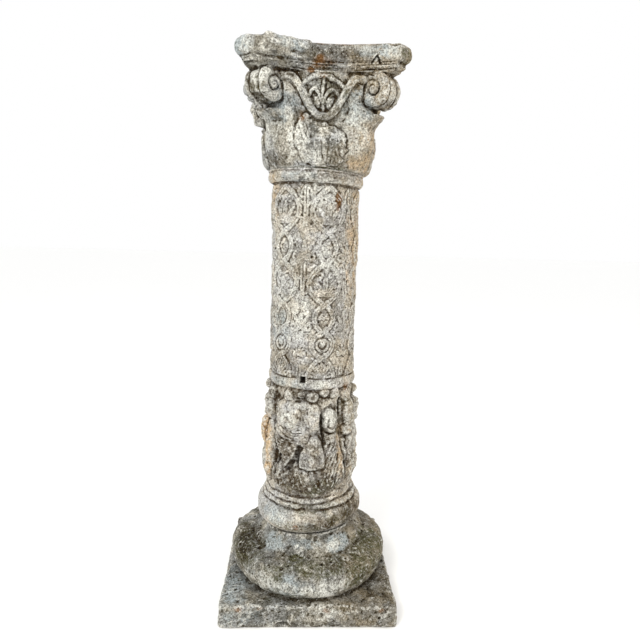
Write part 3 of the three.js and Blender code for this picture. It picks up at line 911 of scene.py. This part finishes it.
# A square hole in the lower ring, where a bar was once let in, and a shallow slot under the astragal
ring_radius = 95
a = np.radians(azimuth)
hole_side = (a - math.radians(hole_azimuth)) * ring_radius
from_hole = np.maximum(np.abs(hole_side), np.abs(height - hole_height))
hole = smooth(hole_half + 1.2, hole_half - 1.2, from_hole)
radius -= 14 * hole
slot = smooth(1, 0, np.hypot((a * ring_radius - 6) / 8, (height - 878) / 3.2) - 0.4)
radius -= 3 * slot
points[:, 0] = radius * np.sin(a)
points[:, 1] = -radius * np.cos(a)
points[:, 2] = height - lean(height) * points[:, 0]
write_points(shaft, points)
keep_hollows(shaft)
# Painted shade in the figures' creases and in the square hole.
keep_value(shaft, "painted_crease_shade", np.maximum(crack_and_crease_shade, hole))
keep_stains(
    shaft,
    moss=(
        ((70, -90, 186), (60, 60, 34), 1.0),
        ((-20, -110, 175), (90, 50, 14), 0.7),
        ((20, -100, 214), (90, 50, 14), 0.7),
        ((0, 90, 200), (150, 90, 60), 0.6),
        ((60, -60, 400), (50, 60, 70), 0.4),
        ((0, -100, 258), (100, 40, 26), 0.75),
    ),
    dark=(
        ((0, -60, 276), (110, 90, 60), 1.0),
        ((-54, -80, 330), (44, 60, 60), 1.0),
        ((10, -90, 340), (60, 40, 60), 0.6),
        ((64, -80, 430), (30, 40, 50), 0.6),
        ((70, -60, 330), (50, 60, 60), 0.7),
        ((-80, -30, 440), (40, 60, 40), 0.8),
        ((10, -90, 456), (100, 50, 16), 0.7),
        # Painted shade as well as dirt on the astragal's underside.
        ((0, -90, 892), (90, 50, 9), 0.8),
        ((24, -96, 184), (66, 40, 26), 1.0),
        ((80, -60, 190), (50, 60, 34), 1.2),
        ((0, 40, 330), (130, 90, 110), 0.7),
        ((-60, -70, 520), (40, 60, 60), 0.35),
        # Painted shade as well as dirt under the torus, over the joint with the base.
        ((50, -90, 168), (80, 50, 14), 0.9),
    ),
    pale=(
        ((-50, -96, 405), (26, 30, 24), 0.9),
        ((36, -96, 415), (22, 30, 24), 0.9),
        ((-60, -60, 700), (60, 60, 160), 0.3),
        ((0, -90, 860), (60, 40, 40), 0.6),
        ((-30, -90, 620), (40, 30, 60), 0.5),
        ((30, -90, 740), (30, 30, 60), 0.5),
        ((-60, -90, 186), (44, 40, 18), 0.6),
        ((20, -92, 480), (40, 30, 10), 0.7),
        ((-40, -90, 896), (40, 40, 7), 0.5),
    ),
    tan=(
        ((-98, -46, 354), (21, 40, 66), 1.3),
        ((-92, -58, 300), (12, 30, 50), 1.0),
        ((62, -84, 350), (12, 30, 80), 0.55),
        ((84, -40, 780), (30, 60, 140), 0.4),
        ((-84, -30, 860), (20, 40, 60), 0.3),
    ),
    blue=(
        ((-75, -90, 196), (40, 44, 26), 1.0),
        ((-10, -110, 180), (40, 30, 12), 0.5),
        ((-60, -80, 480), (60, 50, 14), 0.6),
        ((-40, -85, 892), (50, 40, 12), 0.8),
        ((-70, -60, 600), (30, 40, 90), 0.5),
    ),
    ochre=(
        ((44, -80, 850), (9, 20, 22), 0.9),
        ((76, -66, 470), (14, 20, 12), 0.9),
        ((-28, -112, 178), (9, 12, 8), 0.9),
        ((-98, -40, 372), (8, 20, 40), 0.5),
    ),
)
tones = ("#aeaaa1", "#d1cec7", "#f3f1eb")
pale = cast_stone("pale cast stone, weathered", tones, tan=("#d6cab6", 0.5), dirt_and_shade=("#463b2e", 0.88))
shaft.data.materials.append(pale)
shaft.data.shade_smooth()
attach(shaft, "root")
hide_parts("shaft")

# Capital: a bell with four low and four tall leaves, bands that roll into corner scrolls, and a square
# top slab with hollowed sides. It was cast in one and set on a little askew. Its front edge is broken.
capital_turn = 3
capital_foot = shaft_top + 0.3
scroll_reach = 151
scroll_height = 1047
scroll_radius = 36
scroll_thickness = 40
scroll_edge = 5
band_half = 7.5
coil_half = 9.5
band_rise = 7.5
inner_coil_half = 6.2
inner_coil_rise = 6.5
eye_radius = 9
eye_rise = 8
shield_half = 19
bell_columns = 240
abacus_top = 1119
abacus_corner = 160
abacus_middle = 134
abacus_cut = 28


def from_nearest(azimuth, first, count):
    """How far an azimuth is from the nearest of a ring of evenly spaced ones."""
    step = 360 / count
    along = turn_between(azimuth, first) / step
    return (along - np.round(along)) * step


def bell_radius_at(turn, z):
    """The bell with its leaves: round at its foot and almost square under the slab."""
    foot = 10 * (1 - np.exp(-(z - capital_foot) / 14))
    bell = 98 + foot + 28 * smooth(970, 1085, z) ** 1.2
    off = from_nearest(turn, 0, 4)
    corner = from_nearest(turn, 45, 4)
    swell = 28 * (1 - np.exp(-(z - capital_foot + 6) / 34)) + 3 * smooth(984, 1009, z)
    half = mix(35, 21, smooth(950, 1012, z))
    spread = np.cos(np.pi / 2 * np.clip(corner / half, -1, 1)) ** 1.1
    corner_leaf = swell * smooth(1030, 1006, z) * np.clip(spread, 0, 1)
    lip = 17 * within(z, 986, 1004, 1007, 1011) * rounded(corner / 14)
    across = np.radians(off) * 114
    low_leaf = 4.5 * boss(across, z - 948, 52, 40)
    squareness = smooth(1000, 1055, z)
    wall = np.minimum(117 / np.cos(np.radians(off)), 138)
    ground = mix(bell, np.maximum(wall, bell - 8), squareness)
    return ground + np.maximum(corner_leaf + lip, low_leaf) - 0.8


def turned_about(points, degrees):
    """Points turned about the axis."""
    a = math.radians(degrees)
    x = points[:, 0] * math.cos(a) - points[:, 1] * math.sin(a)
    y = points[:, 0] * math.sin(a) + points[:, 1] * math.cos(a)
    return np.stack([x, y, points[:, 2]], axis=1)


def abacus_ring(offset, z, tuck):
    """One level of the slab: four hollowed sides and cut corners. The tuck draws its corners in."""
    spans = 24
    reach = abacus_corner - tuck
    half_side = reach - abacus_cut + offset * (math.sqrt(2) - 1)
    shares = np.linspace(-1, 1, spans)
    depth = mix(abacus_middle, reach, shares**2) + offset
    side = np.stack([shares * half_side, -depth, np.full(spans, float(z))], axis=1)
    return np.concatenate([turned_about(side, 90 * k) for k in range(4)])


levels = np.arange(capital_foot, 1078, 2.5)
bell = skinned("bell", [ring(z, bell_columns, bell_radius_at) for z in levels])

# The slab's profile from below: how far each level stands out, its height and its tuck. Fillets and
# grooves come first, then the rounded edge.
edge_foot = 1090
edge_middle = (edge_foot + abacus_top) / 2
edge_half = (abacus_top - edge_foot) / 2
edge_sweep = 78
slab_profile = [(-25, 1069, 7), (-24, 1074, 4), (-15, 1075, 3), (-14, 1078.5, -2), (-19, 1080, -6)]
slab_profile += [(-19, 1082, -6), (-10, 1083, -2), (-9, 1086.5, 0), (-14, 1088, 0), (-14, 1089.5, 0)]
for angle in np.linspace(-edge_sweep, edge_sweep, 13):
    share = math.sin(math.radians(angle)) / math.sin(math.radians(edge_sweep))
    offset = 9 * (math.cos(math.radians(angle)) - 1) + 0.5
    slab_profile.append((offset, edge_middle + edge_half * share, 0))
slab = skinned("slab", [abacus_ring(offset, z, tuck) for offset, z, tuck in slab_profile])

scrolls = []
for side in range(4):
    corner_turn = math.radians(90 * side + 45)
    direction = Vector((math.cos(corner_turn), math.sin(corner_turn), 0))
    middle = direction * scroll_reach * MM + Vector((0, 0, scroll_height * MM))
    across_scroll = direction.cross(Vector((0, 0, 1)))
    drums = ((scroll_radius - 8, scroll_thickness), (scroll_radius - 4, scroll_thickness * 0.6))
    for reach, thick in drums:
        bpy.ops.object.select_all(action="DESELECT")
        size = {"radius": reach * MM, "depth": thick * MM}
        bpy.ops.mesh.primitive_cylinder_add(vertices=48, location=middle, **size)
        drum = bpy.context.object
        drum.rotation_euler = across_scroll.to_track_quat("Z", "Y").to_euler()
        bpy.ops.object.transform_apply()
        applied(drum, "BEVEL", width=scroll_edge * MM, segments=3)
        scrolls.append(drum)

capital = fused([bell, slab, *scrolls], voxel=2.15)
capital.name = "capital_stone_work"
points = read_points(capital)
normals = read_normals(capital)


def path_distance(points, path):
    """The distance from each point to a line through space, where it is near."""
    xyz = paced(path, 1.5).T
    result = np.full(len(points), 1e9)
    near = np.all((points > xyz.min(axis=0) - 15) & (points < xyz.max(axis=0) + 15), axis=1)
    close = points[near]
    best = np.full(len(close), 1e9)
    for station in xyz:
        best = np.minimum(best, ((close - station) ** 2).sum(axis=1))
    result[near] = np.sqrt(best)
    return result


def wall_point(off, z):
    """The point of the bell's wall at an azimuth and a height."""
    radius = float(bell_radius_at(np.array([float(off)]), np.array([float(z)]))[0])
    a = math.radians(off)
    return (radius * math.sin(a), -radius * math.cos(a), z)


# The band of one corner: up from the middle of a side, over the scroll and in to its eye
corner = np.array([math.sqrt(0.5), -math.sqrt(0.5), 0])
face_out = np.array([-math.sqrt(0.5), -math.sqrt(0.5), 0])
climb_heights = (999, 1067)
coil_turns = (0, 110, 220, 330, 440)
coil_reaches = (23, 23, 20, 15, 8)
climb = []
for share in np.linspace(0, 1, 16):
    climbed = 0.5 - 0.5 * math.cos(math.pi * share**1.25)
    climb.append(wall_point(mix(0.5, 29, share), mix(*climb_heights, climbed)))
curl = []
for turned in np.linspace(0, coil_turns[-1], 45):
    angle = math.radians(122 - turned)
    reach = float(np.interp(turned, coil_turns, coil_reaches))
    place = corner * (scroll_reach + reach * math.cos(angle)) + face_out * (scroll_thickness / 2)
    curl.append((place[0], place[1], scroll_height + reach * math.sin(angle)))
eye_place = corner * scroll_reach + face_out * scroll_thickness / 2 + np.array([0, 0, scroll_height])

rise = np.zeros(len(points))
sunk = np.zeros(len(points))
ragged = rough(points, 13, 161, 3)
bent = points + 2.4 * np.stack([rough(points, 24, seed, 3) for seed in (141, 144, 147)], axis=1)
for side in range(4):
    local = turned_about(points, -90 * side)
    carved = turned_about(bent, -90 * side)
    plain_back = 0.35 if side == 2 else 1.0
    z = carved[:, 2]
    off = np.degrees(np.arctan2(carved[:, 0], -carved[:, 1]))
    front = np.abs(off) < 45
    ridges = [rise]
    for flip in (1, -1):
        place = mix(local, carved, 0.5) * np.array([flip, 1, 1])
        up_band = path_distance(place, climb + curl[:5]) / band_half
        from_eye = place - eye_place
        eye_distance = np.linalg.norm(from_eye, axis=1)
        ridges.append(band_rise * np.clip(1 - up_band**3, 0, 1) ** 0.5)
        ridges.append(band_rise * rounded(path_distance(place, curl[3:27]) / coil_half))
        ridges.append(inner_coil_rise * rounded(path_distance(place, curl[25:]) / inner_coil_half))
        ridges.append(eye_rise * rounded(eye_distance / eye_radius))
        well = smooth(22, 17, eye_distance) * smooth(12, 4, np.abs(from_eye @ face_out))
        sunk = np.maximum(sunk, 7 * well)

    # The shield between two bands: a rim, a stem and two hooked sprigs with a lobe under each
    rim = []
    for turn in np.linspace(-shield_half, shield_half, 20):
        rim.append(wall_point(turn, 1049 + 18 * math.cos(math.pi / 2 * turn / shield_half)))
    stem = [wall_point(0, height) for height in (1010, 1036, 1064)]
    lines = [(rim, 5, 4.4), (stem, 3.6, 3.4)]
    for flip in (1, -1):
        hook_places = ((1, 1022), (3, 1037), (6.5, 1045), (10, 1043), (12.5, 1034))
        lines.append(([wall_point(flip * turn, height) for turn, height in hook_places], 3.4, 3.6))
        from_lobe = (carved - np.array(wall_point(5.5 * flip, 1021))) / np.array([7, 9, 12])
        ridges.append(4 * rounded(np.linalg.norm(from_lobe, axis=1)) * plain_back)
    for path, height, half_width in lines:
        ridges.append(height * rounded(path_distance(carved, path) / half_width) * plain_back)
    in_shield = front * smooth(17, 11, np.abs(off) + 0.002 * np.abs(1066 - z) ** 2)
    sunk = np.maximum(sunk, 1.7 * in_shield * within(z, 1004, 1016, 1064, 1072) * plain_back)

    # The low leaf: a broad oval with a fluted fan in its middle, a curled cap and worn lobes either side
    across = np.radians(off) * 116
    oval = np.hypot((across + 2) / 47, (z - 948) / 43) + 0.05 * np.cos(np.arctan2(z - 948, across) * 11)
    leaf = 4.2 * smooth(1.04, 0.88, oval) * smooth(904, 914, z)
    fan = np.arctan2(across - 4, z - 898)
    flutes = 2.0 * np.abs(np.cos(fan * 11)) * smooth(0.42, 0.34, np.abs(fan)) * smooth(972, 966, z)
    leaf += flutes * smooth(908, 925, z)
    leaf = np.maximum(leaf, 6.5 * boss(across - 5, z - 973, 17, 8))
    lobes = ((-37, 964, 16, 32, 6.5), (-29, 930, 14, 16, 5), (33, 955, 13, 26, 7), (27, 926, 14, 15, 5.5))
    for lobe_across, lobe_height, half_width, half_height, lobe_rise in lobes:
        t = ((across - lobe_across) / half_width) ** 2 + ((z - lobe_height) / half_height) ** 2
        t = np.clip(t * (1 + 0.55 * ragged), 0, 1)
        ribbed = 1 + 0.1 * np.cos((across - lobe_across) * 0.7 + (z - lobe_height) * 0.3)
        leaf = np.maximum(leaf, lobe_rise * (1 - t**3) ** 0.6 * ribbed)
    ridges.append(front * leaf * mix(0.5, 1, plain_back))
    rise = np.maximum.reduce(ridges)

    # A dark slit and slight hollow beside the low leaf, and soft veins on the tall corner leaves
    from_corner = from_nearest(off, 45, 4)
    veins = np.cos(np.radians(from_corner) * 62) * within(z, 915, 940, 985, 1006)
    rise = rise + front * 0.9 * veins * smooth(25, 16, np.abs(from_corner)) * (rise < 1)
    slit = front * rounded((np.abs(off + 1) - 22.5) / 1.5) * within(z, 944, 952, 966, 974)
    sunk = np.maximum(sunk, 4.5 * slit)

rise = rise - sunk * (rise < 2.5) - 1.6

# Wear all over, less on the slab, and its broken corners and edges, as rows like those of the plinth
slab_part = smooth(1052, 1066, points[:, 2])
rise += mix(1.3, 0.55, slab_part) * rough(points, 22, 111, 3)
rise += mix(0.8, 0.5, slab_part) * rough(points, 6.5, 117, 2)
rise -= mix(1.8, 1.0, slab_part) * (pits(points, 15, 121, 0.16) + 0.7 * pits(points, 8, 127, 0.16))
rise += 0.9 * slab_part
breaks = (
    ((-2, -146, 1078), (30, 22, 20), 13),
    ((-22, -141, 1070), (20, 18, 12), 9),
    ((30, -140, 1076), (16, 16, 10), 5),
    ((-46, -144, 1098), (20, 16, 12), 5),
    ((98, -166, 1092), (11, 14, 12), 9),
    ((-128, -160, 1124), (16, 30, 10), 7),
    ((-160, -150, 1078), (26, 40, 18), 10),
    ((-152, -112, 1040), (16, 34, 16), 6),
    ((150, 96, 1118), (30, 34, 14), 7),
    ((-119, -138, 1100), (10, 12, 10), 6),
    ((-86, -150, 1092), (16, 12, 7), 5),
    ((60, -146, 1117), (22, 10, 7), 4),
    ((126, -150, 1118), (16, 16, 8), 5),
    ((-126, -116, 1024), (22, 26, 10), 5),
    ((-150, 122, 1026), (28, 30, 36), 14),
)
for place, size, depth in breaks:
    rise -= depth * patch(points, place, size) * (1 + 0.4 * grain(points, 9, 131))

# A crack shaped like a gable in the slab's front, and the broken grooves between its fillets
x, y, z = points.T
gable = np.abs(np.abs(x - 92) * 1.3 + (z - 1097) * 0.9)
crack_and_crease_shade = smooth(3.2, 1.6, gable) * (np.abs(x - 92) < 13) * (y < -100) * smooth(1084, 1088, z)
rise -= 2.5 * crack_and_crease_shade
slab_level = z + 0.9 * rough(points, 26, 151, 2)
from_groove = np.minimum(np.abs(slab_level - 1077), np.abs(slab_level - 1084))
grooves = smooth(1.9, 0.7, from_groove) * smooth(-0.5, 0.1, rough(points, 34, 153, 2))
grooves *= np.maximum(np.abs(x), np.abs(y)) > 96
rise -= 2.2 * grooves
# The gable crack and, more faintly, the grooves are also painted dark as shade.
crack_and_crease_shade = np.maximum(crack_and_crease_shade, 0.6 * grooves)

# A rough lump of old mortar along the slab's left front edge. The beds at foot and top stay flat.
lump_x = mix(0.4, 1, smooth(-112, -102, bent[:, 0])) * within(bent[:, 0], -152, -146, -25, -20)
lump_x = lump_x * mix(1, 0.65, smooth(-95, -30, bent[:, 0]))
lump = lump_x * smooth(-82, -94, bent[:, 1]) * smooth(1098, 1112, z)
rise += 8 * lump * (1 + 0.25 * grain(points, 16, 133) + 0.15 * grain(points, 6, 135))
flat_foot = smooth(capital_foot + 1, capital_foot + 5, z)
flat_top = mix(0.25, 1, np.maximum(smooth(abacus_top - 1, abacus_top - 4, z), lump))
points = points + normals * (rise * flat_foot * flat_top)[:, None]
points = turned_about(points, capital_turn)
points[:, 0] += 1.5 * smooth(1075, 1040, points[:, 2])
points[:, 2] = np.maximum(points[:, 2], capital_foot)
points[:, 2] -= lean(points[:, 2]) * points[:, 0]
write_points(capital, points)
keep_hollows(capital)
keep_value(capital, "painted_crease_shade", crack_and_crease_shade)
keep_stains(
    capital,
    moss=(
        ((10, -130, 1040), (50, 40, 30), 0.4),
        ((0, -110, 905), (90, 60, 8), 0.9),
        ((160, -150, 1100), (24, 40, 24), 0.7),
        ((-106, -130, 1050), (30, 40, 26), 0.6),
        ((0, 130, 1060), (160, 60, 80), 0.4),
    ),
    dark=(
        ((0, -130, 1092), (52, 30, 28), 0.6),
        # Painted shade as well as dirt: the next five rows, under the slab's fillets and round the
        # scrolls.
        ((-60, -130, 1068), (50, 40, 12), 0.9),
        ((70, -140, 1076), (60, 40, 8), 0.9),
        ((-118, -112, 1020), (36, 50, 18), 1.2),
        ((-130, -118, 1044), (16, 40, 30), 0.8),
        ((120, -110, 1022), (40, 50, 14), 0.9),
        ((-84, -76, 926), (36, 50, 18), 0.35),
        ((-70, -110, 1100), (50, 40, 12), 0.6),
        ((50, -130, 1104), (70, 30, 16), 0.75),
        ((-130, 60, 1000), (70, 100, 60), 0.6),
        ((120, 80, 980), (80, 100, 60), 0.5),
    ),
    pale=(
        ((-38, -112, 962), (22, 24, 32), 1.4),
        ((0, -125, 1042), (30, 20, 24), 0.6),
        ((-58, -100, 1000), (12, 24, 18), 0.8),
        ((-84, -80, 985), (40, 40, 46), 0.65),
        ((-110, -140, 1060), (34, 40, 22), 0.8),
        ((136, -120, 1040), (18, 40, 26), 0.8),
        ((66, -100, 980), (40, 40, 60), 0.45),
        ((60, -138, 1108), (60, 20, 10), 0.3),
        ((120, -150, 1095), (34, 30, 18), 0.4),
        ((-120, -150, 1096), (44, 40, 20), 0.6),
        ((-20, -112, 930), (60, 20, 20), 0.5),
    ),
    blue=(
        ((-150, -150, 1105), (40, 40, 24), 1.0),
        ((-60, -130, 1112), (50, 40, 16), 0.9),
        ((100, -150, 1105), (50, 30, 18), 0.9),
        ((70, -100, 1020), (44, 50, 44), 1.0),
        ((-74, -96, 1020), (40, 44, 40), 0.9),
    ),
    tan=(
        ((96, -60, 950), (40, 60, 50), 0.35),
        ((100, -80, 915), (60, 60, 14), 0.5),
    ),
    ochre=(
        ((-33, -120, 998), (11, 24, 14), 1.2),
        ((2, -130, 1088), (30, 30, 14), 0.8),
        ((-16, -130, 1076), (10, 30, 7), 0.8),
        ((4, -130, 1066), (12, 30, 6), 0.7),
        ((30, -135, 1119), (50, 12, 5), 0.5),
    ),
)
tones = ("#8a8880", "#bbbab4", "#eaeae4")
lichened = cast_stone("grey cast stone, lichened", tones, tan=("#bfb19a", 0.7), dirt_and_shade=("#3f3526", 0.92))
capital.data.materials.append(lichened)
capital.data.shade_smooth()
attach(capital, "root")
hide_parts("capital")
